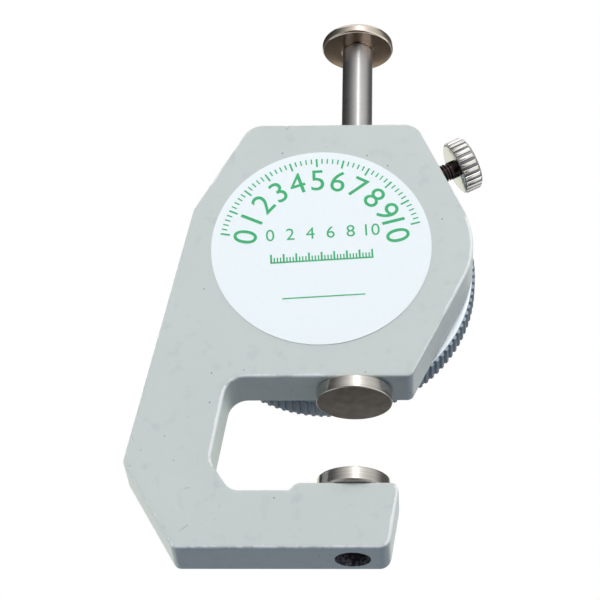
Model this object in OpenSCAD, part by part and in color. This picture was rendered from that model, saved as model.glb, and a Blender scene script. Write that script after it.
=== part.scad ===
// Pocket dial thickness gauge with a C-frame, a lift button and a spindle lock.
// Millimetres. Z runs up the spindle axis, the dial faces -Y and the throat opens to -X.
// The origin is on the spindle axis, in the plane of the base.

/* [Frame] */
// Thickness of the cast frame, dial side to back
frame_t = 9.2; // [9:0.1:10]
// Height of the top face
body_top = 74; // [73:0.5:77]
// Height of the underside of the upper body
throat_top = 28.3; // [28:0.1:29.5]
// Height of the pad that carries the anvil
jaw_top = 10.6; // [10:0.1:11.5]
// Drop from the anvil pad to the throat floor
pad_step = 1.2; // [0.9:0.1:1.6]
// Reach of the base under the spine
base_back = 26.8; // [26:0.1:28]
// Reach of the base under the jaw tip
base_tip = 5.5; // [5:0.1:6.2]
// Outward lean of the jaw tip
tip_lean = 1.6; // [1:0.1:2]
// Knee of the spine, distance from the spindle axis
knee_x = 34.9; // [34:0.1:36]
// Knee of the spine, height
knee_z = 14; // [13:0.1:15]
// Shoulder of the spine, distance from the spindle axis
shoulder_x = 25.9; // [25:0.1:27]
// Shoulder of the spine, height
shoulder_z = 58.2; // [57:0.1:59.5]
// Reach of the top face over the spine
top_back = 17.2; // [16.5:0.1:18]
// Reach of the top face over the nose
top_tip = 9.7; // [9:0.1:10.4]
// Reach of the nose before it is rounded
nose_x = 20.2; // [19.8:0.1:21.5]
// Reach of the underside of the upper body
under_tip = 8.9; // [8.5:0.1:9.6]
// Depth of the throat at its top
throat_x = 19.4; // [18.8:0.1:20]
// Depth of the throat at its heel
heel_x = 21.7; // [21:0.1:22.4]
// Height of the throat heel
heel_z = 14.2; // [13.5:0.1:15]
// Length of the throat floor
floor_x = 18.5; // [17.5:0.1:19]
// Reach of the anvil pad toward the spine
pad_x = 8.5; // [7:0.1:9]
// Rounding of the edges on the dial side
front_round = 1; // [0.6:0.1:1]
// Rounding of the edges on the back
back_round = 0.3; // [0.2:0.1:0.6]
// Wall left behind the movement pocket
back_wall = 1.3; // [1.2:0.1:1.4]

/* [Spindle] */
// Diameter of the spindle
spindle_d = 5; // [4.8:0.1:5.2]
// Radial running clearance of the spindle and bezel
run_clear = 0.05; // [0.03:0.01:0.08]
// Length of spindle shown over the top face when raised
rod_show = 17.3; // [16.5:0.1:18.5]
// Diameter of the guide bushes
bush_d = 7; // [6.6:0.1:7.2]
// Diameter of the contact disc
disc_d = 11.8; // [11:0.1:12]
// Thickness of the contact disc
disc_t = 2.1; // [2:0.05:2.3]
// Gap over the contact disc when raised
disc_gap = 0.3; // [0.3:0.05:0.6]
// Diameter of the lift button
button_d = 11.8; // [11:0.1:12.6]
// Thickness of the lift button
button_t = 2.9; // [2.7:0.1:3.4]

/* [Anvil] */
// Diameter of the anvil
anvil_d = 11.2; // [10.4:0.1:12]
// Height of the anvil over its pad
anvil_t = 2.24; // [2:0.02:2.4]
// Diameter of the hole in the base
hole_d = 5.5; // [5.2:0.1:5.8]
// Free depth of the hole in the base
hole_h = 4.2; // [4:0.1:4.6]

/* [Movement] */
// Spindle travel for one turn of the pointer
turn_travel = 10; // [9.8:0.1:10.2]
// Teeth on the pinion
pinion_teeth = 16; // [14:1:18]
// Radius of the pinion shaft
shaft_r = 0.6; // [0.5:0.05:0.65]
// Length of the rack
rack_len = 18; // [17.6:0.1:18.2]
// Turns of the hairspring
hair_turns = 3; // [2:1:4]
// Turns of the return spring
coil_turns = 15; // [10:1:18]
// Wire diameter of the return spring
coil_wire = 0.36; // [0.3:0.02:0.44]
// Radius of the return spring at mid wire
coil_r = 0.95; // [0.85:0.05:1]

/* [Dial] */
// Drop of the bezel's lowest point under the underside of the upper body
bezel_drop = 0.15; // [0.1:0.05:0.5]
// Diameter over the bezel ridges
bezel_d = 46.9; // [46.5:0.1:48]
// Width of the ridged band
band_w = 4.7; // [4.5:0.1:5.2]
// Ridges round the bezel
bezel_ridges = 120; // [90:10:140]
// Depth of the bezel ridges
ridge_h = 0.4; // [0.2:0.05:0.5]
// Gap between the frame and the bezel
bezel_gap = 0.5; // [0.4:0.05:0.7]
// Thickness of the bezel's wall, ridges included
bezel_wall = 2.4; // [2.3:0.05:2.5]
// Thickness of the dial plate
dial_t = 0.5; // [0.4:0.05:0.6]
// Depth between dial plate and crystal
dial_room = 1.9; // [1.7:0.1:2.1]
// Thickness of the crystal at its edge
crystal_t = 0.8; // [0.7:0.05:1]
// Diameter of the label on the back
label_d = 34.9; // [32:0.1:36]
// Thickness of the label
label_t = 0.12; // [0.1:0.01:0.2]

/* [Lock] */
// Slope of the lock screw over the horizontal
lock_angle = 27.1; // [25:0.1:29]
// Height where the lock axis crosses the spindle axis
lock_z = 60; // [59.5:0.1:60.5]
// Distance from the spindle axis to the knob
knob_reach = 17.9; // [17.5:0.1:19]
// Diameter of the knob
knob_d = 8.8; // [8.2:0.1:9.4]
// Thickness of the knob
knob_t = 3.1; // [2.4:0.1:3.6]
// Ridges round the knob
knob_ridges = 24; // [18:1:28]
// Diameter of the lock screw
screw_d = 2.9; // [2.8:0.05:3]

/* [Hidden] */
$fn = 64;
back_y = frame_t / 2;
front_y = -back_y;
spindle_r = spindle_d / 2;
bush_r = bush_d / 2;
fit = 0.02;

// dial centre and the spigot that carries the bezel
bezel_r = bezel_d / 2;
dial_z = throat_top + bezel_r - bezel_drop;
bore_r = bezel_r - bezel_wall;
spigot_r = bore_r - run_clear;
spigot_in = bore_r - 2.05;
spigot_y = front_y - 1.8;

// rack and pinion
rack_pitch = turn_travel / pinion_teeth;
pinion_r = turn_travel / (2 * PI);
pressure = 20;
addendum = 0.27 * rack_pitch;
dedendum = 0.4 * rack_pitch;
tooth_w = 0.45 * rack_pitch;
rack_line = spindle_r + 0.25;
rack_depth = 1.25;
rack_seat = rack_line - rack_depth;
rack_z0 = dial_z - 2.4;
rack_half = 1.3;
pinion_half = 1.5;
dial_x = rack_line + pinion_r;
base_r = pinion_r * cos(pressure);

// movement pocket, round the spring post, the rack and the bridge
post_pin_reach = spigot_in - 2.33;
post_pin_x = dial_x - post_pin_reach * cos(58.4);
post_pin_z = dial_z - post_pin_reach * sin(58.4);
pocket_y = back_y - back_wall;
pocket_x0 = post_pin_x - 3.6;
pocket_x1 = dial_x + 8.66;
pocket_z0 = post_pin_z - 2.4;
pocket_z1 = rack_z0 + rack_len + 0.8;
pocket_r = 4.5;

// heights along the spindle, raised
disc_top = throat_top - disc_gap;
disc_z = disc_top - disc_t;
anvil_top = jaw_top + anvil_t;
lift = disc_z - anvil_top - 0.03;
button_z = body_top + rod_show;
stud_r = 1.5;
stud_h = 1.4;
pin_x = -0.9;
pin_r = 0.6;
pin_z = rack_z0 + rack_len - 1.2;
pin_y0 = front_y - 0.7;
pin_y1 = pocket_y + 0.65;

// movement, counted from the front of the frame toward the back
bridge_y0 = front_y + 0.2;
bridge_y1 = bridge_y0 + 0.8;
hair_y0 = bridge_y1 + 0.4;
hair_y1 = hair_y0 + 0.4;
hair_t = 0.15;
hair_in = shaft_r + 0.55;
hair_out = 3.3;
post_x = pocket_x1 - 1.8;
post_r = 2;
post_dz = 6.4;
thread_r = 0.8;
thread_len = 3;
head_r = 1.45;
head_h = 0.9;
slot_w = 0.4;
pivot_r = shaft_r - 0.2;
pivot_bush_r = 1.3;
stud_x = dial_x + hair_out + hair_t / 2 + 0.4;

// dial stack, counted from the frame toward the front
bezel_y = front_y - bezel_gap;
band_y = bezel_y - band_w;
ring_y = spigot_y - 0.3;
ring_t = 0.4;
dial_y = ring_y - ring_t;
room_y = dial_y - dial_t;
crystal_y = room_y - dial_room;
lip_y = crystal_y - crystal_t;
nose_y = lip_y - 0.7;
lip_r = bore_r - 1.05;
wire_r = 0.3;
wire_y = bezel_y - 0.65;
pointer_y = room_y - 0.5;
pointer_t = 0.3;
pointer_len = lip_r - 3;
pointer_reading = 360 * lift / turn_travel;

// lock, counted along its axis from the spindle axis
screw_r = screw_d / 2;
tip_r = 1;
tip_s = (spindle_r + tip_r + 0.03) / cos(lock_angle);
pad_s = 10;
lock_reach = 30;

// label, a little off the dial centre
label_x = dial_x + 1;
label_z = dial_z - 0.4;

// return spring between its post and the guide pin
spring_y = front_y + 0.4;
post_pin_r = 0.6;
hook_r = pin_r + coil_wire / 2 + fit;
coil_step = 45;

// corners of the frame as seen from the dial side, each with its radius
corners = [
    [-base_tip, 0, 1.8],
    [base_back, 0, 1.2],
    [knee_x, knee_z, 1.5],
    [shoulder_x, shoulder_z, 3],
    [top_back, body_top, 3.5],
    [-top_tip, body_top, 3],
    [-nose_x, dial_z, 14],
    [-under_tip, throat_top, 1.2],
    [throat_x, throat_top, 3.2],
    [heel_x, heel_z, 3],
    [floor_x, jaw_top - pad_step, 2.5],
    [pad_x + 0.9 * pad_step, jaw_top - pad_step, 0.6],
    [pad_x, jaw_top, 1.4],
    [-base_tip - tip_lean, jaw_top, 1.2]
];

function unit(v) = v / norm(v);
function right_of(a) = [a.y, -a.x];
function turned(v, t) = [v.x * cos(t) - v.y * sin(t), v.x * sin(t) + v.y * cos(t)];
function turn_between(a, b) = atan2(a.x * b.y - a.y * b.x, a * b);
function spot(c) = [c.x, c.y];

// points of a rounded corner, each with its outward direction
function corner_arc(p, v, q, r) =
    let (a = unit(v - p))
    let (t = turn_between(a, unit(q - v)))
    let (centre = v - a * r * tan(abs(t) / 2) - sign(t) * r * right_of(a))
    let (steps = ceil(abs(t) / 11) + 1)
    [for (k = [0:steps]) let (n = turned(right_of(a), t * k / steps)) concat(centre + sign(t) * r * n, n)];

corner_count = len(corners);
arcs = [
    for (i = [0:corner_count - 1])
        corner_arc(
            spot(corners[(i + corner_count - 1) % corner_count]),
            spot(corners[i]),
            spot(corners[(i + 1) % corner_count]),
            corners[i][2]
        )
];
outline = [for (arc = arcs) each arc];

// outline drawn in by d
function drawn_in(d) = [for (p = outline) [p[0] - d * p[2], p[1] - d * p[3]]];
inmost = drawn_in(front_round);

// triangles across the C between its outer side, jaw tip to nose, and its inner side
throat_corner = 8;
outer_last = len([for (i = [0:throat_corner - 1]) each arcs[i]]) - 1;
outline_last = len(outline) - 1;
function apart(i, j) = norm(inmost[i] - inmost[j]);
function bends_left(i, j, k) = cross(inmost[j] - inmost[i], inmost[k] - inmost[i]) > 0;
function along_outer(i, j) =
    j == outer_last + 1
    || (i < outer_last && (!bends_left(i, j - 1, j) || apart(i + 1, j) < apart(i, j - 1)));
function across(i, j) =
    i == outer_last && j == outer_last + 1 ? []
    : along_outer(i, j) ? concat([[i, i + 1, j]], across(i + 1, j))
    : concat([[i, j - 1, j]], across(i, j - 1));

// depth and draw-in of each layer of the frame, from the dial side to the back
shell_layers = concat(
    [for (a = [90:-22.5:0]) [front_y + front_round * (1 - sin(a)), front_round * (1 - cos(a))]],
    [for (a = [0:30:90]) [back_y - back_round * (1 - sin(a)), back_round * (1 - cos(a))]]
);

// involute flank of the pinion as an angle from the tooth's middle
function involute(a) = tan(a) * 180 / PI - a;
function flank(r) =
    tooth_w / (2 * pinion_r) * 180 / PI + involute(pressure) - involute(acos(min(1, base_r / r)));

pinion_radii = [pinion_r - dedendum, base_r, pinion_r, pinion_r + addendum];
function flank_at(r) = flank(max(r, base_r));
function polar(r, a) = [r * cos(a), r * sin(a)];
pinion_points = [
    for (i = [0:pinion_teeth - 1])
        let (mid = 180 + i * 360 / pinion_teeth)
            each concat(
                [for (k = [0:3]) polar(pinion_radii[k], mid - flank_at(pinion_radii[k]))],
                [for (k = [3:-1:0]) polar(pinion_radii[k], mid + flank_at(pinion_radii[k]))]
            )
];

// rack teeth from the lower end up, with a gap at the height of the pinion
rack_count = floor(rack_len / rack_pitch);
rack_first = dial_z + rack_pitch * (0.5 - floor((dial_z - rack_z0) / rack_pitch));
lean = tan(pressure);
function tooth_half(d) = tooth_w / 2 - d * lean;
rack_points = concat(
    [[rack_seat, rack_z0], [rack_line - dedendum, rack_z0]],
    [
        for (i = [0:rack_count - 2])
            let (z = rack_first + i * rack_pitch)
                each [
                    [rack_line - dedendum, z - tooth_half(-dedendum)],
                    [rack_line + addendum, z - tooth_half(addendum)],
                    [rack_line + addendum, z + tooth_half(addendum)],
                    [rack_line - dedendum, z + tooth_half(-dedendum)]
                ]
    ],
    [[rack_line - dedendum, rack_z0 + rack_len], [rack_seat, rack_z0 + rack_len]]
);

// ridged round outline
function ridged(r, h, count) = [
    for (i = [0:count - 1])
        each [
            polar(r - h, (i - 0.38) * 360 / count),
            polar(r, (i - 0.2) * 360 / count),
            polar(r, (i + 0.2) * 360 / count),
            polar(r - h, (i + 0.38) * 360 / count)
        ]
];

// flat spiral of the hairspring, outer edge out and inner edge back
hair_steps = 24 * hair_turns;
function hair_r(k) = hair_in + (hair_out - hair_in) * k / hair_steps + hair_t / 2;
hair_points = concat(
    [for (k = [0:hair_steps]) polar(hair_r(k) + hair_t / 2, k * 15)],
    [for (k = [hair_steps:-1:0]) polar(hair_r(k) - hair_t / 2, k * 15)]
);

// wire of the return spring: loop on the post, coils, loop on the guide pin
spring_a = [post_pin_x, spring_y, post_pin_z];
spring_b = [pin_x, spring_y, pin_z];
spring_axis = unit(spring_b - spring_a);
spring_side = cross([0, 1, 0], spring_axis);
spring_len = norm(spring_b - spring_a);
coil_room = spring_len - 5;
coil_count = coil_turns * 360 / coil_step;
function along(c, a) = c + hook_r * (cos(a) * spring_side + sin(a) * spring_axis);
function coil_at(k) =
    spring_a + spring_axis * (2.5 + coil_room * k / coil_count)
    + coil_r * (cos(k * coil_step) * spring_side + sin(k * coil_step) * [0, 1, 0]);
spring_path = concat(
    [for (a = [60:-30:-270]) along(spring_a, a)],
    [spring_a + spring_axis * 1.6 + [0, -0.3, 0]],
    [for (k = [0:coil_count]) coil_at(k)],
    [spring_b - spring_axis * 1.6 + [0, 0.3, 0]],
    [for (a = [-90:30:240]) along(spring_b, a)]
);
path_count = len(spring_path);
function heading(i) = unit(spring_path[min(i + 1, path_count - 1)] - spring_path[max(i - 1, 0)]);
function squared(n, i) = unit(n - (n * heading(i)) * heading(i));
wire_sides = [
    for (i = 0, n = squared([0.1, 1, 0.1], 0); i < path_count; i = i + 1, n = squared(n, min(i, path_count - 1))) n
];
wire_points = [
    for (i = [0:path_count - 1])
        for (s = [0:5])
            spring_path[i]
            + coil_wire / 2 * (cos(s * 60) * wire_sides[i] + sin(s * 60) * cross(heading(i), wire_sides[i]))
];
wire_faces = concat(
    [[for (s = [0:5]) s]],
    [
        for (i = [0:path_count - 2])
            for (s = [0:5])
                each [
                    [i * 6 + s, i * 6 + 6 + s, i * 6 + 6 + (s + 1) % 6],
                    [i * 6 + s, i * 6 + 6 + (s + 1) % 6, i * 6 + (s + 1) % 6]
                ]
    ],
    [[for (s = [5:-1:0]) (path_count - 1) * 6 + s]]
);
spring_gap = min([
    for (i = [0:path_count - 7])
        for (j = [i + 6:path_count - 1])
            norm(spring_path[i] - spring_path[j])
]) - coil_wire;
echo(return_spring_gap = spring_gap, hairspring_gap = (hair_out - hair_in) / hair_turns - hair_t);

// round bar along Y between two depths
module bar_y(r, y0, y1) {
    translate([0, y1, 0])
        rotate([90, 0, 0])
            cylinder(r = r, h = y1 - y0);
}

// flat shape drawn in X and Z, thick along Y
module plate_y(y0, y1) {
    translate([0, y1, 0])
        rotate([90, 0, 0])
            linear_extrude(y1 - y0)
                children();
}

// round profile of radius and depth toward the dial side, about the dial axis
module dial_round() {
    translate([dial_x, 0, dial_z])
        rotate([90, 0, 0])
            rotate_extrude()
                children();
}

// moves a shape drawn up the Z axis onto the lock axis
module on_lock_axis() {
    translate([0, 0, lock_z])
        rotate([0, lock_angle - 90, 0])
            children();
}

// solid frame with both faces rounded over at their edges
module frame_shell() {
    count = len(outline);
    last = len(shell_layers) - 1;
    points = [
        for (layer = shell_layers)
            for (p = drawn_in(layer[1])) [p.x, layer[0], p.y]
    ];
    sides = [
        for (k = [0:last - 1])
            for (i = [0:count - 1])
                let (n = (i + 1) % count)
                    each [
                        [k * count + i, k * count + count + n, k * count + n],
                        [k * count + i, k * count + count + i, k * count + count + n]
                    ]
    ];
    face = across(0, outline_last);
    near = [for (f = face) [f[2], f[1], f[0]]];
    far = [for (f = face) [for (i = f) i + last * count]];
    polyhedron(points = points, faces = concat(near, sides, far));
}

// room for the movement, open to the dial side
module pocket() {
    wide = pocket_x1 - pocket_x0;
    tall = pocket_z1 - pocket_z0;
    plate_y(front_y - 0.01, pocket_y)
        translate([pocket_x0, pocket_z0]) {
            translate([pocket_r, 0])
                square([wide - 2 * pocket_r, tall]);
            translate([0, pocket_r])
                square([wide, tall - 2 * pocket_r]);
            for (x = [pocket_r, wide - pocket_r], z = [pocket_r, tall - pocket_r])
                translate([x, z])
                    circle(pocket_r);
        }
}

// the two places of the movement posts
module at_posts() {
    for (side = [-1, 1])
        translate([post_x, 0, dial_z + side * post_dz])
            children();
}

module frame() {
    color([0.76, 0.79, 0.78])
        difference() {
            union() {
                difference() {
                    frame_shell();
                    pocket();
                }
                at_posts()
                    bar_y(post_r, bridge_y1, pocket_y + 0.2);
                dial_round()
                    translate([spigot_in, -front_y - 0.2])
                        square([spigot_r - spigot_in, front_y - spigot_y + 0.2]);
            }
            translate([0, 0, throat_top - 1])
                cylinder(r = bush_r, h = body_top - throat_top + 2);
            translate([0, 0, -1])
                cylinder(r = hole_d / 2, h = hole_h + 1);
            cylinder(r = 2.3, h = hole_h + 1.8);
            cylinder(r = 1.6, h = jaw_top + 1);
            at_posts()
                bar_y(thread_r, bridge_y1 - 1, bridge_y1 + thread_len + 0.2);
            translate([dial_x, 0, dial_z])
                bar_y(pivot_bush_r, 0, pocket_y + 0.8);
            translate([post_pin_x, 0, post_pin_z])
                bar_y(post_pin_r, 0, pocket_y + 0.8);
            translate([pin_x - pin_r - 0.15, 0, pin_z - lift - 1.2])
                cube([2 * pin_r + 0.3, pocket_y + 0.85, lift + 2.4]);
            on_lock_axis() {
                translate([0, 0, pad_s - 0.3])
                    cylinder(r = screw_r + run_clear, h = lock_reach);
                cylinder(r = tip_r + run_clear, h = pad_s);
            }
            dial_round()
                translate([spigot_r, -wire_y])
                    circle(wire_r + fit);
        }
}

module back_label() {
    color([0.94, 0.96, 0.97])
        translate([label_x, 0, label_z])
            bar_y(label_d / 2, back_y, back_y + label_t);
}

module bush(z0, z1) {
    color([0.72, 0.58, 0.3])
        translate([0, 0, z0])
            difference() {
                cylinder(r = bush_r, h = z1 - z0);
                translate([0, 0, -1])
                    cylinder(r = spindle_r + run_clear, h = z1 - z0 + 2);
            }
}

module upper_bush() {
    bush(pocket_z1 + 0.4, body_top);
}

module lower_bush() {
    bush(throat_top, pocket_z0);
}

module spindle() {
    color([0.75, 0.75, 0.73])
        difference() {
            union() {
                translate([0, 0, disc_top])
                    cylinder(r = spindle_r, h = button_z - disc_top);
                translate([0, 0, disc_top - stud_h])
                    cylinder(r = stud_r, h = button_z - disc_top + 2 * stud_h);
            }
            translate([rack_seat, -spindle_d, rack_z0])
                cube([spindle_d, 2 * spindle_d, rack_len]);
            translate([pin_x, 0, pin_z])
                bar_y(pin_r, -spindle_d, spindle_d);
        }
}

module rack() {
    color([0.7, 0.56, 0.3])
        plate_y(-rack_half, rack_half)
            polygon(rack_points);
}

module guide_pin() {
    color([0.62, 0.63, 0.65])
        translate([pin_x, 0, pin_z])
            bar_y(pin_r, pin_y0, pin_y1);
}

module contact_disc() {
    color([0.6, 0.6, 0.6])
        rotate_extrude()
            polygon([
                [0, disc_z],
                [disc_d / 2 - 0.2, disc_z],
                [disc_d / 2, disc_z + 0.2],
                [disc_d / 2, disc_top - 0.15],
                [disc_d / 2 - 0.15, disc_top],
                [stud_r, disc_top],
                [stud_r, disc_top - stud_h],
                [0, disc_top - stud_h]
            ]);
}

module lift_button() {
    edge = button_d / 2;
    lip = 0.85;
    rim_h = 1;
    rim_r = 0.95;
    dome = button_t - rim_h - rim_r;
    well = spindle_r + 0.4;
    well_h = 0.5;
    color([0.6, 0.56, 0.54])
        translate([0, 0, button_z])
            rotate_extrude()
                polygon(concat(
                    [[stud_r, 0], [stud_r, stud_h], [0, stud_h], [0, button_t]],
                    [for (a = [85:-8:5]) [(edge - rim_r) * cos(a), button_t - dome * (1 - sin(a))]],
                    [for (a = [90:-15:0]) [edge - rim_r + rim_r * cos(a), rim_h + rim_r * sin(a)]],
                    [for (a = [15:15:90]) [edge - lip + lip * cos(a), rim_h - rim_h * sin(a)]],
                    [[well, 0], [well, well_h], [spindle_r, well_h], [spindle_r, 0]]
                ));
}

module anvil() {
    color([0.62, 0.62, 0.61])
        difference() {
            union() {
                rotate_extrude()
                    polygon([
                        [0, jaw_top],
                        [anvil_d / 2 - 0.25, jaw_top],
                        [anvil_d / 2, jaw_top + 0.25],
                        [anvil_d / 2, anvil_top - 0.15],
                        [anvil_d / 2 - 0.15, anvil_top],
                        [0, anvil_top]
                    ]);
                translate([0, 0, hole_h + 2.4])
                    cylinder(r = 1.6, h = jaw_top - hole_h - 2);
            }
            translate([0, 0, hole_h])
                cylinder(r = 1, h = 5.4);
        }
}

module anvil_screw() {
    color([0.35, 0.35, 0.36])
        difference() {
            union() {
                translate([0, 0, hole_h + 0.3])
                    cylinder(r = 2.2, h = 1.5);
                translate([0, 0, hole_h + 1.8])
                    cylinder(r = 1, h = 3.4);
            }
            translate([-3, -0.3, hole_h])
                cube([6, 0.6, 0.9]);
        }
}

module return_spring() {
    color([0.5, 0.51, 0.53])
        polyhedron(points = wire_points, faces = wire_faces);
}

module spring_post() {
    color([0.62, 0.63, 0.65])
        translate([post_pin_x, 0, post_pin_z])
            bar_y(post_pin_r, pin_y0, pocket_y + 0.8);
}

module pinion_shaft() {
    color([0.7, 0.56, 0.3])
        translate([dial_x, 0, dial_z]) {
            plate_y(-pinion_half, pinion_half)
                polygon(pinion_points);
            bar_y(shaft_r, pointer_y - pointer_t - 0.2, pocket_y - 0.6);
            bar_y(pivot_r, 0, pocket_y + 0.6);
        }
}

module pivot_bush() {
    color([0.72, 0.58, 0.3])
        translate([dial_x, 0, dial_z])
            difference() {
                bar_y(pivot_bush_r, pocket_y - 0.4, pocket_y + 0.8);
                bar_y(pivot_r + 0.04, pocket_y - 1, pocket_y + 1);
            }
}

module bridge_plate() {
    tall = post_dz + 1.8;
    color([0.78, 0.66, 0.4])
        difference() {
            plate_y(bridge_y0, bridge_y1)
                polygon([
                    [dial_x - 2.2, dial_z - 2],
                    [post_x - 1.6, dial_z - tall],
                    [post_x + 1.6, dial_z - tall],
                    [post_x + 1.6, dial_z + tall],
                    [post_x - 1.6, dial_z + tall],
                    [dial_x - 2.2, dial_z + 2]
                ]);
            translate([dial_x, 0, dial_z])
                bar_y(shaft_r + 0.04, bridge_y0 - 1, bridge_y1 + 1);
            at_posts()
                bar_y(0.9, bridge_y0 - 1, bridge_y1 + 1);
        }
}

module bridge_screws() {
    color([0.55, 0.55, 0.56])
        at_posts()
            difference() {
                union() {
                    bar_y(head_r, bridge_y0 - head_h, bridge_y0);
                    bar_y(thread_r, bridge_y0 - head_h / 2, bridge_y1 + thread_len);
                }
                translate([-2 * head_r, bridge_y0 - 2 * head_h, -slot_w / 2])
                    cube([4 * head_r, 1.4 * head_h, slot_w]);
            }
}

module hairspring() {
    color([0.45, 0.5, 0.6])
        translate([dial_x, 0, dial_z])
            plate_y(hair_y0, hair_y1)
                polygon(hair_points);
}

module hairspring_collet() {
    color([0.72, 0.58, 0.3])
        translate([dial_x, 0, dial_z])
            difference() {
                bar_y(hair_in, hair_y0 - 0.1, hair_y1 + 0.1);
                bar_y(shaft_r, hair_y0 - 1, hair_y1 + 1);
            }
}

module hairspring_stud() {
    color([0.72, 0.58, 0.3])
        translate([stud_x + hair_t / 2, 0, dial_z])
            bar_y(0.4, bridge_y1, hair_y1 + 0.1);
}

module pointer() {
    color([0.08, 0.08, 0.08])
        translate([dial_x, 0, dial_z])
            rotate([0, pointer_reading, 0])
                difference() {
                    plate_y(pointer_y - pointer_t, pointer_y) {
                        circle(1.7);
                        polygon([[-0.75, -5], [0.75, -5], [0.6, 0], [0.12, pointer_len], [-0.12, pointer_len], [-0.6, 0]]);
                    }
                    bar_y(shaft_r, pointer_y - 1, pointer_y + 1);
                }
}

module pointer_cap() {
    depth = pointer_t - pointer_y;
    color([0.75, 0.75, 0.73])
        dial_round()
            polygon([
                [shaft_r, depth],
                [1.3, depth],
                [1.3, depth + 0.25],
                [1, depth + 0.5],
                [0, depth + 0.5],
                [0, depth + 0.2],
                [shaft_r, depth + 0.2]
            ]);
}

module dial_plate() {
    color([0.93, 0.93, 0.9])
        translate([dial_x, 0, dial_z])
            difference() {
                bar_y(bore_r - fit, room_y, dial_y);
                bar_y(1.1, room_y - 1, dial_y + 1);
            }
}

// flat ring inside the bezel
module bezel_ring(inner, y0, y1) {
    translate([dial_x, 0, dial_z])
        difference() {
            bar_y(bore_r - fit, y0, y1);
            bar_y(inner, y0 - 1, y1 + 1);
        }
}

module dial_clip_ring() {
    color([0.5, 0.51, 0.53])
        bezel_ring(bore_r - 1.2, dial_y, ring_y);
}

module spacer_ring() {
    color([0.2, 0.2, 0.21])
        bezel_ring(lip_r, crystal_y, room_y);
}

module crystal() {
    edge = bore_r - fit;
    color([0.85, 0.9, 0.92, 0.3])
        dial_round()
            polygon([
                [0, -crystal_y],
                [edge, -crystal_y],
                [edge, -lip_y],
                [lip_r - fit, -lip_y],
                [lip_r - fit - 0.5, 0.4 - lip_y],
                [0, 0.4 - lip_y]
            ]);
}

module bezel() {
    root = bezel_r - ridge_h;
    color([0.34, 0.38, 0.42])
        difference() {
            union() {
                translate([dial_x, 0, dial_z])
                    plate_y(band_y, bezel_y)
                        polygon(ridged(bezel_r, ridge_h, bezel_ridges));
                dial_round()
                    polygon([
                        [bore_r - 2, -band_y],
                        [root, -band_y],
                        [root, 0.3 - band_y],
                        [root - 0.9, -nose_y],
                        [bore_r - 2, -nose_y]
                    ]);
            }
            translate([dial_x, 0, dial_z]) {
                bar_y(bore_r, lip_y, bezel_y + 1);
                bar_y(lip_r, nose_y - 1, bezel_y + 1);
            }
            dial_round()
                translate([spigot_r, -wire_y])
                    circle(wire_r + 2 * run_clear);
        }
}

module bezel_wire() {
    color([0.62, 0.63, 0.65])
        dial_round()
            translate([spigot_r, -wire_y])
                circle(wire_r);
}

module lock_pad() {
    color([0.72, 0.58, 0.3])
        on_lock_axis() {
            translate([0, 0, tip_s])
                cylinder(r = tip_r, h = pad_s - tip_s);
            translate([0, 0, tip_s])
                sphere(tip_r);
        }
}

module lock_screw() {
    color([0.3, 0.29, 0.28])
        on_lock_axis()
            translate([0, 0, pad_s])
                cylinder(r = screw_r, h = knob_reach - pad_s + 1.6);
}

module lock_knob() {
    rim = knob_d / 2;
    color([0.8, 0.79, 0.78])
        on_lock_axis()
            translate([0, 0, knob_reach])
                difference() {
                    intersection() {
                        linear_extrude(knob_t)
                            polygon(ridged(rim, 0.35, knob_ridges));
                        rotate_extrude()
                            polygon([
                                [0, 0],
                                [rim - 0.15, 0],
                                [rim + 0.1, 0.25],
                                [rim + 0.1, knob_t - 0.45],
                                [rim - 0.35, knob_t],
                                [0, knob_t]
                            ]);
                    }
                    translate([0, 0, -1])
                        cylinder(r = screw_r, h = 2.6);
                }
}

frame();
back_label();
upper_bush();
lower_bush();
spindle();
rack();
guide_pin();
contact_disc();
lift_button();
anvil();
anvil_screw();
return_spring();
spring_post();
pinion_shaft();
pivot_bush();
bridge_plate();
bridge_screws();
hairspring();
hairspring_collet();
hairspring_stud();
pointer();
pointer_cap();
dial_plate();
dial_clip_ring();
spacer_ring();
crystal();
bezel();
bezel_wire();
lock_pad();
lock_screw();
lock_knob();
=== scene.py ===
import math
import bpy
from mathutils import Matrix, Vector


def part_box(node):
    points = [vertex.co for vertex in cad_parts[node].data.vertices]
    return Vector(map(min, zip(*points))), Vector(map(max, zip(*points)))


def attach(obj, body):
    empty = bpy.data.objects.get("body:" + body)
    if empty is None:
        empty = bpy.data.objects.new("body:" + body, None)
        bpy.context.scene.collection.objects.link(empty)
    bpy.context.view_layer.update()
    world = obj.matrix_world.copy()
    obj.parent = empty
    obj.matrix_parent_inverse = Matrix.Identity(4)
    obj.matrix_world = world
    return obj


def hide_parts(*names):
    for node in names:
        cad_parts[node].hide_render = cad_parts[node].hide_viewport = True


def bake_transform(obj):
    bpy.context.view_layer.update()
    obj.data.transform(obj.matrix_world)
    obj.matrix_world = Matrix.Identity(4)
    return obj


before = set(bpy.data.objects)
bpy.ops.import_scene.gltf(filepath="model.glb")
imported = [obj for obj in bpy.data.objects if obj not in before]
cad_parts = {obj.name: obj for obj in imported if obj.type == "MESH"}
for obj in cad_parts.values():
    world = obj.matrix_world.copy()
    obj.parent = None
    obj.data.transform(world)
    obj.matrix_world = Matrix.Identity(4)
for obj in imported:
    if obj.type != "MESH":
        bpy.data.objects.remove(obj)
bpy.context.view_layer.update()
print("frame loaded:", len(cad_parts), "nodes")


def mm(value):
    return value / 1000


weld = mm(0.001)   # points closer than this are one point
slack = mm(0.01)   # heights that differ by less are the same
facing = 0.9   # a face looks a given way past this cosine
colourA, colourB, colourOut = 6, 7, 2   # sockets of a Mix node that mixes colours
valueA, valueB = 2, 3   # and of one that mixes values
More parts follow.
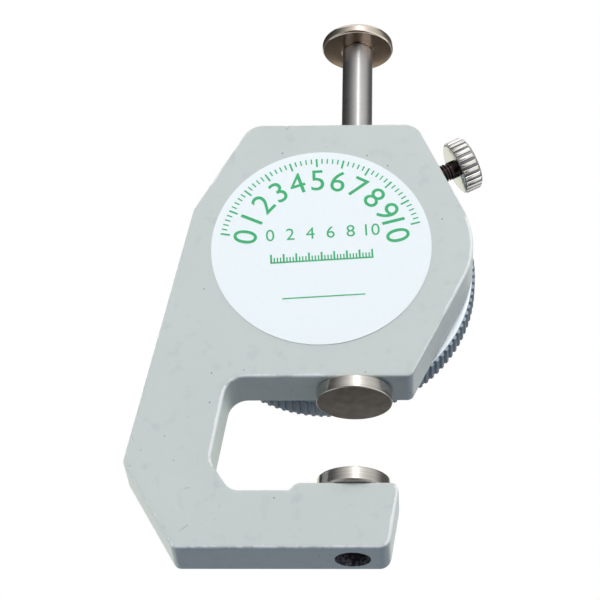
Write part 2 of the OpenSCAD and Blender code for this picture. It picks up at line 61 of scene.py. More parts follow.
# places that several pieces share, in millimetres and degrees
gaugePlan = {"dialX": 4.3415, "dialZ": 51.6, "lockZ": 60, "lockAngle": 27.1}


def linear(hexCode):
    parts = [int(hexCode[i:i + 2], 16) / 255 for i in (1, 3, 5)]
    return [c / 12.92 if c <= 0.04045 else ((c + 0.055) / 1.055) ** 2.4 for c in parts] + [1]


# a pattern's scale from the real size of one feature in millimetres
def grainScale(sizeMm):
    return 1000 / sizeMm


# one shader node with its settings, its inputs by name or number, and its links
def addNode(tree, kind, settings=None, links=None):
    node = tree.nodes.new("ShaderNode" + kind)
    for key, value in (settings or {}).items():
        if isinstance(key, str) and hasattr(node, key):
            setattr(node, key, value)
        else:
            node.inputs[key].default_value = value
    for key, source in (links or {}).items():
        tree.links.new(source, node.inputs[key])
    return node


def newTree(name):
    material = bpy.data.materials.new(name)
    material.use_nodes = True
    material.node_tree.nodes.clear()
    return material, material.node_tree


def pickOnly(obj):
    if bpy.context.mode != "OBJECT":
        bpy.ops.object.mode_set(mode="OBJECT")
    bpy.ops.object.select_all(action="DESELECT")
    obj.select_set(True)
    bpy.context.view_layer.objects.active = obj


def editAll(obj):
    pickOnly(obj)
    bpy.ops.object.mode_set(mode="EDIT")
    bpy.ops.mesh.select_all(action="SELECT")


# selects faces of the piece in edit mode by a test on centre and normal
def selectFaces(obj, test):
    bpy.ops.mesh.select_mode(type="FACE")
    bpy.ops.mesh.select_all(action="DESELECT")
    bpy.ops.object.mode_set(mode="OBJECT")
    for face in obj.data.polygons:
        face.select = bool(test(face.center, face.normal))
    bpy.ops.object.mode_set(mode="EDIT")


# turns all faces of the piece in edit mode outwards, and leaves edit mode
def faceOutwards():
    bpy.ops.mesh.select_all(action="SELECT")
    bpy.ops.mesh.normals_make_consistent(inside=False)
    bpy.ops.object.mode_set(mode="OBJECT")


def applyPlace(obj):
    pickOnly(obj)
    bpy.ops.object.transform_apply(location=True, rotation=True, scale=True)


def addModifier(obj, kind, **settings):
    pickOnly(obj)
    bpy.ops.object.modifier_add(type=kind)
    modifier = obj.modifiers[-1]
    for key, value in settings.items():
        setattr(modifier, key, value)
    bpy.ops.object.modifier_apply(modifier=modifier.name)


def smoothByAngle(obj, degrees=30):
    pickOnly(obj)
    bpy.ops.object.shade_smooth_by_angle(angle=math.radians(degrees))


def joinAll(pieces, name):
    pickOnly(pieces[0])
    for piece in pieces[1:]:
        piece.select_set(True)
    bpy.ops.object.join()
    pieces[0].name = name
    return pieces[0]


def copyOf(obj):
    twin = obj.copy()
    twin.data = obj.data.copy()
    bpy.context.scene.collection.objects.link(twin)
    return twin


def dress(obj, material, body, slotName, *nodes):
    obj.data.materials.clear()
    obj.data.materials.append(material)
    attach(obj, body)
    if nodes:
        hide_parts(*nodes)


# a second finish on the faces that pass a test on centre and normal
def dressFaces(obj, material, test):
    obj.data.materials.append(material)
    for face in obj.data.polygons:
        face.material_index = int(test(face.center, face.normal))


# merged copy of a CAD node, so that its round faces shade smoothly
def mergedCopy(nodeName, name, degrees=30, flatDegrees=0.5):
    piece = bpy.data.objects.new(name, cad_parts[nodeName].data.copy())
    bpy.context.scene.collection.objects.link(piece)
    editAll(piece)
    bpy.ops.mesh.remove_doubles(threshold=weld)
    bpy.ops.mesh.dissolve_limited(angle_limit=math.radians(flatDegrees))
    bpy.ops.object.mode_set(mode="OBJECT")
    bpy.ops.mesh.customdata_custom_splitnormals_clear()   # the file's own normals don't fit the merged mesh
    smoothByAngle(piece, degrees)
    return piece


# camera of the photograph: behind the gauge, below it, looking up
cameraLook = {"azimuth": 3.281, "elevation": -28.15, "roll": 1.266, "distance": mm(378.78),
              "target": (mm(8.775), 0, mm(44.124)), "lens": 143.335, "sensor": 36, "nearest": 0.01}


def makeCamera(look):
    azimuth, elevation, roll = (math.radians(look[k]) for k in ("azimuth", "elevation", "roll"))
    level = math.cos(elevation)
    back = Vector((-math.sin(azimuth) * level, math.cos(azimuth) * level, math.sin(elevation)))
    right = (-back).cross(Vector((0, 0, 1))).normalized()
    up = right.cross(-back)
    side = right * math.cos(roll) + up * math.sin(roll)
    top = up * math.cos(roll) - right * math.sin(roll)
    place = Vector(look["target"]) + back * look["distance"]
    bpy.ops.object.camera_add()
    camera = bpy.context.object
    rows = [[side[i], top[i], back[i], place[i]] for i in range(3)]
    camera.matrix_world = Matrix(rows + [[0, 0, 0, 1]])
    camera.data.lens = look["lens"]
    camera.data.sensor_width = look["sensor"]
    camera.data.clip_start = look["nearest"]
    bpy.context.scene.camera = camera


makeCamera(cameraLook)
bpy.context.scene.view_settings.view_transform = "Standard"
print("camera set")

# lamps: soft key over the camera, fill on the dial side, one each for throat, nose and spine
# name, watts, size, place, tint
lampLook = (("keyLamp", 2.6, 0.5, (0.10, 0.64, 0.32), "#FFFFFF"),
            ("fillLamp", 4.4, 0.6, (-0.2, -0.72, 0.42), "#FFF5E6"),
            ("throatLamp", 1.1, 0.4, (-0.75, 0.1, 0.04), "#FFFFFF"),
            ("noseLamp", 2, 0.4, (-0.5, 0.1, 0.72), "#FFFFFF"),
            ("spineLamp", 3.6, 0.35, (0.78, 0.04, -0.06), "#FFFFFF"))


def aimAt(place, target=(0.005, 0, 0.045)):
    return (Vector(target) - Vector(place)).to_track_quat("-Z", "Y").to_euler()


def makeLamps(lamps):
    for name, watts, size, place, tint in lamps:
        bpy.ops.object.light_add(type="AREA", location=place, rotation=aimAt(place))
        lamp = bpy.context.object
        lamp.name = name
        lamp.data.energy = watts
        lamp.data.size = size
        lamp.data.color = linear(tint)[:3]
        lamp.visible_glossy = False   # the boards make the highlights


# sky: pale overhead, dimmer and bluer below, plain white to the eye and in mirrors
skyLook = {"from": -0.3, "to": 0.8, "bottom": 0.30, "top": 0.80, "lowTint": "#9CC6FF", "highTint": "#FFFDFA"}


def makeSky(look):
    world = bpy.data.worlds.new("studio")
    bpy.context.scene.world = world
    world.use_nodes = True
    tree = world.node_tree
    tree.nodes.clear()
    rays = addNode(tree, "LightPath").outputs
    outward = addNode(tree, "TexCoord").outputs["Generated"]
    height = addNode(tree, "SeparateXYZ", links={0: outward}).outputs["Z"]
    level = addNode(tree, "MapRange", {"From Min": look["from"], "From Max": look["to"],
                    "To Min": look["bottom"], "To Max": look["top"]}, {"Value": height}).outputs[0]
    tint = addNode(tree, "Mix", {"data_type": "RGBA", colourA: linear(look["lowTint"]),
                   colourB: linear(look["highTint"])}, {0: level}).outputs[colourOut]
    soft = addNode(tree, "Background", links={"Color": tint, "Strength": level})
    white = addNode(tree, "Background", {"Color": (1, 1, 1, 1), "Strength": 1})
    seen = rays["Is Camera Ray"]
    for ray in ("Is Glossy Ray", "Is Transmission Ray"):
        seen = addNode(tree, "Math", {"operation": "MAXIMUM"}, {0: seen, 1: rays[ray]}).outputs[0]
    sky = addNode(tree, "MixShader", links={0: seen, 1: soft.outputs[0], 2: white.outputs[0]})
    addNode(tree, "OutputWorld", links={"Surface": sky.outputs[0]})


# floor: shows from above only, so that light from below reaches the base, and runs out into the white
floorLook = {"size": 6, "drop": mm(0.2), "near": 0.14, "far": 0.5, "paper": "#F6F6F4"}


def makeFloor(look):
    bpy.ops.mesh.primitive_plane_add(size=look["size"], location=(0, 0, -look["drop"]))
    floor = bpy.context.object
    floor.name = "floor"
    paper, tree = newTree("floorPaper")
    rays = addNode(tree, "LightPath").outputs
    behind = addNode(tree, "NewGeometry").outputs["Backfacing"]
    front = addNode(tree, "Math", {"operation": "SUBTRACT", 0: 1.0}, {1: behind}).outputs[0]
    place = addNode(tree, "TexCoord").outputs["Object"]
    away = addNode(tree, "VectorMath", {"operation": "LENGTH"}, {0: place}).outputs["Value"]
    near = addNode(tree, "MapRange", {"interpolation_type": "SMOOTHSTEP", "From Min": look["near"],
                   "From Max": look["far"], "To Min": 1, "To Max": 0}, {"Value": away}).outputs[0]
    shown = rays["Is Camera Ray"]
    for part in (front, near):
        shown = addNode(tree, "Math", {"operation": "MULTIPLY"}, {0: shown, 1: part}).outputs[0]
    matt = addNode(tree, "BsdfDiffuse", {"Color": linear(look["paper"])})
    clear = addNode(tree, "BsdfTransparent")
    mixed = addNode(tree, "MixShader", links={0: shown, 1: clear.outputs[0], 2: matt.outputs[0]})
    addNode(tree, "OutputMaterial", links={"Surface": mixed.outputs[0]})
    floor.data.materials.append(paper)


# boards that the metal mirrors, seen by glossy rays alone
boardLook = {
    "radius": 0.85, "low": -0.2, "high": 1.5, "sides": 96, "splitLow": 0.12, "splitHigh": 0.22, "topLevel": 3,
    # level by share of a turn, from -X past -Y: a bright strip with black to either side
    "highLevels": ((0.0, 0.3), (0.035, 0.13), (0.14, 0.1), (0.25, 0.05), (0.4, 0.04), (0.5, 0.06), (0.57, 0.13),
                   (0.63, 0.36), (0.7, 0.8), (0.745, 1.4), (0.775, 3), (0.805, 1.3), (0.86, 0.85), (0.95, 0.6),
                   (1.0, 0.3)),
    # the same lower down, paler before the dial
    "lowLevels": ((0.0, 0.5), (0.05, 0.3), (0.12, 0.2), (0.2, 0.25), (0.25, 0.45), (0.32, 0.3), (0.4, 0.12),
                  (0.55, 0.2), (0.65, 0.3), (0.72, 0.35), (0.77, 0.5), (0.8, 1.2), (0.88, 1.0), (0.94, 0.5),
                  (1.0, 0.4)),
    # name, colour, level, width, length, place, what it faces
    "cards": (("lowBoard", "#B9BCC0", 1, 3.0, 3.0, (0, 0, -0.3), None),
              ("darkCard", "#5B5A58", 1, 1.4, 1.3, (0.35, -0.85, -0.29), None),
              ("buttonCard", "#D2CFC3", 1.1, 0.3, 0.24, (-0.04, -0.73, -0.28), None),
              ("brownCard", "#4E3A30", 1, 0.6, 1.0, (0.05, 0.62, -0.285), None),
              ("paleCard", "#FFFFFF", 1.1, 1.1, 1.8, (-0.85, 0.6, -0.29), None),
              ("knobCard", "#FAFDF0", 0.95, 0.45, 0.35, (0.313, -0.704, 0.255), (-0.016, 0, 0.068)),
              ("throatCard", "#F4FFF8", 0.9, 0.4, 0.5, (-0.14, -0.70, 0.365), (0.02, 0, 0.02)))}


def makeSurround(look):
    tall = look["high"] - look["low"]
    bpy.ops.mesh.primitive_cylinder_add(vertices=look["sides"], radius=look["radius"], depth=tall,
                                        end_fill_type="NOTHING", location=(0, 0, look["low"] + tall / 2))
    surround = bpy.context.object
    surround.name = "surround"
    applyPlace(surround)
    cloth, tree = newTree("surroundCloth")
    place = addNode(tree, "TexCoord").outputs["Object"]
    turn = addNode(tree, "TexGradient", {"gradient_type": "RADIAL"}, {"Vector": place}).outputs["Fac"]
    height = addNode(tree, "SeparateXYZ", links={0: place}).outputs["Z"]
    upper = addNode(tree, "MapRange", {"From Min": look["splitLow"], "From Max": look["splitHigh"]},
                    {"Value": height}).outputs[0]
    bands = []
    for levels in (look["lowLevels"], look["highLevels"]):
        ramp = addNode(tree, "ValToRGB", links={"Fac": turn})
        for share, level in levels[1:-1]:   # a new ramp has its first and last stop already
            ramp.color_ramp.elements.new(share)
        for stop, (share, level) in zip(ramp.color_ramp.elements, levels):
            stop.position = share
            stop.color = [level / look["topLevel"]] * 3 + [1]
        bands.append(ramp.outputs[0])
    band = addNode(tree, "Mix", {"data_type": "RGBA"},
                   {0: upper, colourA: bands[0], colourB: bands[1]}).outputs[colourOut]
    glow = addNode(tree, "Emission", {"Strength": look["topLevel"]}, {"Color": band})
    addNode(tree, "OutputMaterial", links={"Surface": glow.outputs[0]})
    surround.data.materials.append(cloth)
    return surround


def makeBoards(look):
    boards = [makeSurround(look)]
    for name, colour, level, wide, long, place, target in look["cards"]:
        turned = aimAt(place, target) if target else (0, 0, 0)
        bpy.ops.mesh.primitive_plane_add(size=1, location=place, rotation=turned)
        card = bpy.context.object
        card.name = name
        card.scale = (wide, long, 1)
        applyPlace(card)
        paper, tree = newTree(name + "Paper")
        glow = addNode(tree, "Emission", {"Color": linear(colour), "Strength": level})
        addNode(tree, "OutputMaterial", links={"Surface": glow.outputs[0]})
        card.data.materials.append(paper)
        boards.append(card)
    for thing in boards:
        thing.visible_camera = thing.visible_diffuse = thing.visible_shadow = thing.visible_transmission = False


makeLamps(lampLook)
makeSky(skyLook)
makeFloor(floorLook)
makeBoards(boardLook)
print("studio set")

# stove enamel on a die casting: soft gloss, a little orange peel, specks, hairlines, pale edges that are partly worn
# paint and partly painted highlight
enamelLook = {
    "paint": "#C6CBC2", "paintPale": "#CDD1C8", "ior": 1.5, "roughLow": 0.26, "roughHigh": 0.38,
    # size in mm, detail and roughness of each noise; the peel is coarser than real, so that it shows
    "noises": {"cloud": (16, 3, 0.5), "peel": (0.9, 1, 0.5), "stain": (2.4, 5, 0.5),
               "patch": (4, 2, 0.5), "wide": (21, 1, 0.5), "chipAndGlint": (0.7, 4, 0.65)},
    "peelBump": 0.12, "peelDeep": mm(0.12),
    "smudge": "#A9B1AD", "smudgeFrom": 0.56, "smudgeTo": 0.72, "smudgeMost": 0.3,
    "hairline": "#9D9A90", "hairMiddle": 0.53, "hairCore": 0.0015, "hairEdge": 0.004, "hairMost": 0.6,
    "hairFrom": 0.58, "hairTo": 0.66,
    "speck": "#66665C", "speckMm": 1.7, "speckCore": 0.06, "speckEdge": 0.1, "speckMost": 0.85, "speckRare": 0.84,
    # the worn colour is also a painted highlight along the edges
    "wearAndGlint": "#F4F3EC", "patchShare": 1.2, "wearAndGlintFrom": 1.64, "wearAndGlintTo": 1.78}


def frameEnamel(look):
    material, tree = newTree("stoveEnamelOnCasting")
    place = addNode(tree, "TexCoord").outputs["Object"]
    noise = {}
    for name, (sizeMm, detail, roughness) in look["noises"].items():
        noise[name] = addNode(tree, "TexNoise", {"Scale": grainScale(sizeMm), "Detail": detail,
                              "Roughness": roughness}, {"Vector": place}).outputs["Fac"]
    smudge = addNode(tree, "MapRange", {"From Min": look["smudgeFrom"], "From Max": look["smudgeTo"],
                     "To Max": look["smudgeMost"]}, {"Value": noise["stain"]}).outputs[0]
    # hairlines lie where a wide noise crosses its middle, and only here and there
    offMiddle = addNode(tree, "Math", {"operation": "SUBTRACT", 1: look["hairMiddle"]}, {0: noise["wide"]}).outputs[0]
    near = addNode(tree, "Math", {"operation": "ABSOLUTE"}, {0: offMiddle}).outputs[0]
    line = addNode(tree, "MapRange", {"From Min": look["hairCore"], "From Max": look["hairEdge"],
                   "To Min": look["hairMost"], "To Max": 0}, {"Value": near}).outputs[0]
    here = addNode(tree, "MapRange", {"From Min": look["hairFrom"], "From Max": look["hairTo"]},
                   {"Value": noise["patch"]}).outputs[0]
    hairline = addNode(tree, "Math", {"operation": "MULTIPLY"}, {0: line, 1: here}).outputs[0]
    # specks sit in the middle of a few cells
    cells = addNode(tree, "TexVoronoi", {"Scale": grainScale(look["speckMm"])}, {"Vector": place}).outputs
    dot = addNode(tree, "MapRange", {"From Min": look["speckCore"], "From Max": look["speckEdge"],
                  "To Min": look["speckMost"], "To Max": 0}, {"Value": cells["Distance"]}).outputs[0]
    chance = addNode(tree, "SeparateColor", links={0: cells["Color"]}).outputs[0]
    few = addNode(tree, "Math", {"operation": "GREATER_THAN", 1: look["speckRare"]}, {0: chance}).outputs[0]
    speck = addNode(tree, "Math", {"operation": "MULTIPLY"}, {0: dot, 1: few}).outputs[0]
    # the paint is rubbed off in chips where the casting's edges carry wear; the same pale chips paint the edges'
    # highlights
    rubAndGlint = addNode(tree, "Attribute", {"attribute_name": "edgeWearAndGlint"}).outputs["Fac"]
    both = addNode(tree, "Math", {"operation": "MULTIPLY_ADD", 1: look["patchShare"]},
                   {0: noise["patch"], 2: rubAndGlint}).outputs[0]
    both = addNode(tree, "Math", {"operation": "ADD"}, {0: noise["chipAndGlint"], 1: both}).outputs[0]
    bareAndGlint = addNode(tree, "MapRange", {"From Min": look["wearAndGlintFrom"], "From Max": look["wearAndGlintTo"]},
                   {"Value": both}).outputs[0]
    wearAndGlint = addNode(tree, "Math", {"operation": "MULTIPLY"}, {0: bareAndGlint, 1: rubAndGlint}).outputs[0]
    colour = addNode(tree, "Mix", {"data_type": "RGBA", colourA: linear(look["paint"]),
                     colourB: linear(look["paintPale"])}, {0: noise["cloud"]}).outputs[colourOut]
    for layer, share in (("smudge", smudge), ("hairline", hairline), ("speck", speck), ("wearAndGlint", wearAndGlint)):
        colour = addNode(tree, "Mix", {"data_type": "RGBA", colourB: linear(look[layer])},
                         {0: share, colourA: colour}).outputs[colourOut]
    gloss = addNode(tree, "MapRange", {"To Min": look["roughLow"], "To Max": look["roughHigh"]},
                    {"Value": noise["cloud"]}).outputs[0]
    bump = addNode(tree, "Bump", {"Strength": look["peelBump"], "Distance": look["peelDeep"]},
                   {"Height": noise["peel"]}).outputs[0]
    paint = addNode(tree, "BsdfPrincipled", {"IOR": look["ior"]},
                    {"Base Color": colour, "Roughness": gloss, "Normal": bump})
    addNode(tree, "OutputMaterial", links={"Surface": paint.outputs[0]})
    return material


# drilled zinc casting: dull grey metal with torn grains
boreLook = {"metal": "#9C9BA0", "dark": "#4A4950", "grainMm": 0.5, "detail": 4, "grainFrom": 0.42, "grainTo": 0.62,
            "torn": 0.5, "tornDeep": mm(0.1), "metallic": 0.8, "rough": 0.55}


def drilledCasting(look):
    material, tree = newTree("drilledZincCasting")
    place = addNode(tree, "TexCoord").outputs["Object"]
    grain = addNode(tree, "TexNoise", {"Scale": grainScale(look["grainMm"]), "Detail": look["detail"]},
                    {"Vector": place}).outputs["Fac"]
    spots = addNode(tree, "MapRange", {"From Min": look["grainFrom"], "From Max": look["grainTo"]},
                    {"Value": grain}).outputs[0]
    colour = addNode(tree, "Mix", {"data_type": "RGBA", colourA: linear(look["dark"]),
                     colourB: linear(look["metal"])}, {0: spots}).outputs[colourOut]
    bump = addNode(tree, "Bump", {"Strength": look["torn"], "Distance": look["tornDeep"]}, {"Height": grain}).outputs[0]
    metal = addNode(tree, "BsdfPrincipled", {"Metallic": look["metallic"], "Roughness": look["rough"]},
                    {"Base Color": colour, "Normal": bump})
    addNode(tree, "OutputMaterial", links={"Surface": metal.outputs[0]})
    return material


# metal: fine lines, round the piece's axis where it was turned; coat: paint, print or plastic with a fine mottle;
# both a little uneven in colour and gloss
madeAs = {"metal": {"lineDetail": 2, "lineDeep": mm(0.02), "glossSpread": 0.25, "fixed": {"Metallic": 1}},
          "coat": {"lineDetail": 3, "lineDeep": mm(0.05), "glossSpread": 0.2, "fixed": {"IOR": 1.5}}}
cloudDetail = 3
alongRod = 0.25   # quarter turn of the stretched highlight


def workedSurface(made, name, look):
    material, tree = newTree(name)
    place = addNode(tree, "TexCoord").outputs["Object"]
    track = place
    if "axis" in look:   # radius and height on the axis, so that the lines run round it
        local = addNode(tree, "Mapping", {"vector_type": "TEXTURE", **look["axis"]}, {"Vector": place}).outputs[0]
        flat = addNode(tree, "Mapping", {"Scale": (1, 1, 0)}, {"Vector": local}).outputs[0]
        radius = addNode(tree, "VectorMath", {"operation": "LENGTH"}, {0: flat}).outputs["Value"]
        height = addNode(tree, "SeparateXYZ", links={0: local}).outputs["Z"]
        track = addNode(tree, "CombineXYZ", links={"X": radius, "Y": height}).outputs[0]
    lines = addNode(tree, "TexNoise", {"Scale": grainScale(look["lineMm"]), "Detail": made["lineDetail"]},
                    {"Vector": track}).outputs["Fac"]
    cloudMm = look.get("cloudMm", look["lineMm"])
    cloud = addNode(tree, "TexNoise", {"Scale": grainScale(cloudMm), "Detail": cloudDetail},
                    {"Vector": place}).outputs["Fac"]
    tone = addNode(tree, "Mix", {0: look.get("scored", 0.0)}, {valueA: cloud, valueB: lines}).outputs[0]
    colour = addNode(tree, "Mix", {"data_type": "RGBA", colourA: linear(look["dark"]),
                     colourB: linear(look["bright"])}, {0: tone}).outputs[colourOut]
    gloss = addNode(tree, "MapRange", {"To Min": look["rough"] * (1 - made["glossSpread"]),
                    "To Max": look["rough"] * (1 + made["glossSpread"])}, {"Value": lines}).outputs[0]
    bump = addNode(tree, "Bump", {"Strength": look["depth"], "Distance": made["lineDeep"]},
                   {"Height": lines}).outputs[0]
    fixed, links = dict(made["fixed"]), {"Base Color": colour, "Roughness": gloss, "Normal": bump}
    if "grain" in look:   # grinding rings draw the highlight out along the rod
        fixed.update({"Anisotropic": look["grain"], "Anisotropic Rotation": alongRod})
        links["Tangent"] = addNode(tree, "Tangent", {"direction_type": "RADIAL", "axis": "Z"}).outputs[0]
    shader = addNode(tree, "BsdfPrincipled", fixed, links)
    addNode(tree, "OutputMaterial", links={"Surface": shader.outputs[0]})
    return material


# cast acrylic, polished: clear, with the faintest waviness
crystalLook = {"tint": "#FBFDFD", "ior": 1.49, "rough": 0.03, "waveMm": 9, "wave": 0.02, "waveDeep": mm(0.1)}


def clearAcrylic(look):
    material, tree = newTree("polishedClearAcrylic")
    place = addNode(tree, "TexCoord").outputs["Object"]
    wave = addNode(tree, "TexNoise", {"Scale": grainScale(look["waveMm"])}, {"Vector": place}).outputs["Fac"]
    bump = addNode(tree, "Bump", {"Strength": look["wave"], "Distance": look["waveDeep"]}, {"Height": wave}).outputs[0]
    glass = addNode(tree, "BsdfPrincipled", {"Base Color": linear(look["tint"]), "IOR": look["ior"],
                    "Roughness": look["rough"], "Transmission Weight": 1}, {"Normal": bump})
    addNode(tree, "OutputMaterial", links={"Surface": glass.outputs[0]})
    return material


rodAxis = {"Location": (0, 0, 0), "Rotation": (0, 0, 0)}
dialAxis = {"Location": (mm(gaugePlan["dialX"]), 0, mm(gaugePlan["dialZ"])), "Rotation": (math.radians(90), 0, 0)}
lockAxis = {"Location": (0, 0, mm(gaugePlan["lockZ"])), "Rotation": (0, math.radians(gaugePlan["lockAngle"] - 90), 0)}
# lines and mottle are some ten times coarser than real grinding marks, paper fibre and pigment, or they wouldn't show
metals = {
    # soft streak along the rod
    "rod": ("groundToolSteel", {"dark": "#B9B8B8", "bright": "#CFCECC", "rough": 0.3, "depth": 0.1,
            "lineMm": 0.12, "cloudMm": 6, "axis": rodAxis, "grain": 0.9}),
    # warm mirror
    "plate": ("nickelPlatedSteel", {"dark": "#D6C9BA", "bright": "#E9DFD2", "rough": 0.1, "depth": 0.04,
              "lineMm": 0.3, "cloudMm": 4, "axis": rodAxis}),
    # painted shade: the same plating darker and browner, in blotches, for the underside
    "undersideShade": ("paintedShadePlating", {"dark": "#9B8778", "bright": "#C1AE9C", "rough": 0.14, "depth": 0.1,
                "lineMm": 0.6, "cloudMm": 1.5}),
    # rings of light and dark from the lathe
    "disc": ("turnedToolSteel", {"dark": "#ADA8A2", "bright": "#EEEAE2", "rough": 0.2, "depth": 0.35,
             "lineMm": 0.34, "cloudMm": 5, "axis": rodAxis, "scored": 0.75}),
    # dull, finely pitted
    "lapped": ("lappedToolSteel", {"dark": "#6C6763", "bright": "#A7A19C", "rough": 0.42, "depth": 0.25,
               "lineMm": 0.35, "cloudMm": 1.6}),
    # cool satin
    "alloy": ("satinAluminiumBezel", {"dark": "#D6DEE3", "bright": "#E6ECEF", "rough": 0.36, "depth": 0.15,
              "lineMm": 0.2, "cloudMm": 7, "axis": dialAxis}),
    # painted shade: a darker, bluer copy of the bezel metal on the ridged band, blotched where fingers turn it
    "band": ("paintedShadeAluminiumBand", {"dark": "#8C9CAC", "bright": "#ADBCCA", "rough": 0.4, "depth": 0.15,
             "lineMm": 0.2, "cloudMm": 2}),
    # bright mirror
    "knob": ("brightNickelKnob", {"dark": "#D2CFC9", "bright": "#E6E4DF", "rough": 0.14, "depth": 0.05,
             "lineMm": 0.2, "cloudMm": 3, "axis": lockAxis}),
    # painted shade: darker nickel in the grooves between the reeds
    "grooveShade": ("paintedShadeNickelGroove", {"dark": "#6A696E", "bright": "#929195", "rough": 0.3, "depth": 0.05,
               "lineMm": 0.2, "cloudMm": 0.6}),
    # nearly black with small brown lights
    "blackSteel": ("oiledBlackSteel", {"dark": "#262025", "bright": "#483C3B", "rough": 0.2, "depth": 0.1,
                   "lineMm": 0.2, "cloudMm": 1.5, "axis": lockAxis}),
    # yellow, with turning lines
    "brass": ("turnedBrass", {"dark": "#B08D4A", "bright": "#C9A55C", "rough": 0.25, "depth": 0.15,
              "lineMm": 0.15, "cloudMm": 3, "axis": rodAxis}),
    # grey drawn wire
    "spring": ("springSteelWire", {"dark": "#8E9094", "bright": "#A9ABAF", "rough": 0.25, "depth": 0.05,
               "lineMm": 0.2, "cloudMm": 2}),
}
coats = {
    # white paper with a low sheen
    "film": ("printedPaperLabel", {"dark": "#F2F7F2", "bright": "#F7FBF6", "rough": 0.42, "depth": 0.05,
             "lineMm": 0.5}),
    # green, a little uneven in its cover
    "green": ("greenScreenInk", {"dark": "#12AC62", "bright": "#1EB66C", "rough": 0.45, "depth": 0.05, "lineMm": 0.4}),
    # smooth white, broad faint clouds
    "dial": ("whiteDialEnamel", {"dark": "#F7F7F3", "bright": "#FBFBF8", "rough": 0.4, "depth": 0.02, "lineMm": 3}),
    # flat black
    "ink": ("blackDialInk", {"dark": "#151515", "bright": "#1F1F1F", "rough": 0.45, "depth": 0.03, "lineMm": 0.5}),
    # half-gloss black
    "black": ("blackPointerEnamel", {"dark": "#121212", "bright": "#1A1A1A", "rough": 0.3, "depth": 0.03,
              "lineMm": 0.8}),
    # matt, finely grained
    "plastic": ("mouldedBlackPlastic", {"dark": "#1C1C1E", "bright": "#252528", "rough": 0.5, "depth": 0.1,
                "lineMm": 0.3}),
}
finish = {"enamel": frameEnamel(enamelLook), "bore": drilledCasting(boreLook), "crystal": clearAcrylic(crystalLook)}
for made, table in (("metal", metals), ("coat", coats)):
    for key, (name, look) in table.items():
        finish[key] = workedSurface(madeAs[made], name, look)
print("finishes made:", len(finish))

# frame: the casting's own shape, with rings of points beside its edges that carry the wear and the painted edge
# highlights
castingLook = {"backY": mm(4.6), "rim": mm(0.5), "wallRing": mm(3.9), "ringClear": mm(0.1), "frontEdge": mm(-3.7),
               "frontShare": 0.8, "boreR": mm(2.9), "boreTop": mm(6.2), "flat": 0.999, "smoothDeg": 35,
               # how far the paint is rubbed and the pale edge highlight painted, by stretches of the outline: x and z
               # from and to, share
               "rubsAndGlints": ((27.2, 36, 0.5, 15, 0), (17, 23, 13.5, 27, 1), (-9, -4.5, 0.5, 10, 1), (-22, -9, 29, 57, 0.98),
                        (7, 18, -1, 1, 0.88), (-9, 27, -1, 1, 0.66), (2, 20, 27.5, 29, 0.8), (-40, 40, -1, 80, 0.42))}


def rubAt(place, rubsAndGlints):
    for fromX, toX, fromZ, toZ, share in rubsAndGlints:
        if mm(fromX) <= place.x <= mm(toX) and mm(fromZ) <= place.z <= mm(toZ):
            return share
    return 0


def makeCasting(look):
    piece = mergedCopy("frame", "castFrame", look["smoothDeg"])
    editAll(piece)
    bpy.ops.mesh.bisect(plane_co=(0, look["wallRing"], 0), plane_no=(0, 1, 0))
    selectFaces(piece, lambda centre, normal: normal.y > look["flat"] and centre.y > look["backY"] - slack)
    bpy.ops.mesh.inset(thickness=look["rim"], use_boundary=True)
    bpy.ops.object.mode_set(mode="OBJECT")
    inner = {v for face in piece.data.polygons if face.select for v in face.vertices}
    # each point's share of wear and of painted edge highlight
    edgeGlintAndWear = piece.data.attributes.new("edgeWearAndGlint", "FLOAT", "POINT")
    for vert in piece.data.vertices:
        back = vert.co.y > look["wallRing"] + look["ringClear"] and vert.index not in inner
        front = -look["backY"] < vert.co.y - slack < look["frontEdge"]
        edgeGlintAndWear.data[vert.index].value = rubAt(vert.co, look["rubsAndGlints"]) * (back or look["frontShare"] * front)
    smoothByAngle(piece, look["smoothDeg"])
    addModifier(piece, "WEIGHTED_NORMAL", keep_sharp=True)
    dress(piece, finish["enamel"], "frame", "frame_enamel", "frame")
    dressFaces(piece, finish["bore"], lambda centre, normal: math.hypot(centre.x, centre.y) < look["boreR"]
               and slack < centre.z < look["boreTop"])


makeCasting(castingLook)
print("frame made")


# points of an edge rounding, radius and height; it is oval where a height is given
def corner(centreR, centreZ, radius, fromDeg, toDeg, steps=6, tall=None):
    angles = [math.radians(fromDeg + (toDeg - fromDeg) * k / steps) for k in range(steps + 1)]
    return [(centreR + radius * math.cos(a), centreZ + (tall or radius) * math.sin(a)) for a in angles]


# turned piece: a profile of radius and height in millimetres, carried once round the Z axis
def turnedPiece(name, profile, steps=128):
    bpy.ops.object.select_all(action="DESELECT")
    bpy.ops.mesh.primitive_circle_add(vertices=len(profile), fill_type="NOTHING")
    piece = bpy.context.object
    piece.name = name
    for vert, (radius, height) in zip(piece.data.vertices, profile):
        vert.co = (mm(radius), 0, mm(height))
    editAll(piece)
    bpy.ops.mesh.spin(steps=steps, angle=2 * math.pi, center=(0, 0, 0), axis=(0, 0, 1))
    bpy.ops.mesh.select_all(action="SELECT")
    bpy.ops.mesh.remove_doubles(threshold=weld)
    bpy.ops.mesh.dissolve_degenerate(threshold=weld / 2)
    bpy.ops.mesh.delete_loose()
    faceOutwards()
    smoothByAngle(piece)
    return piece


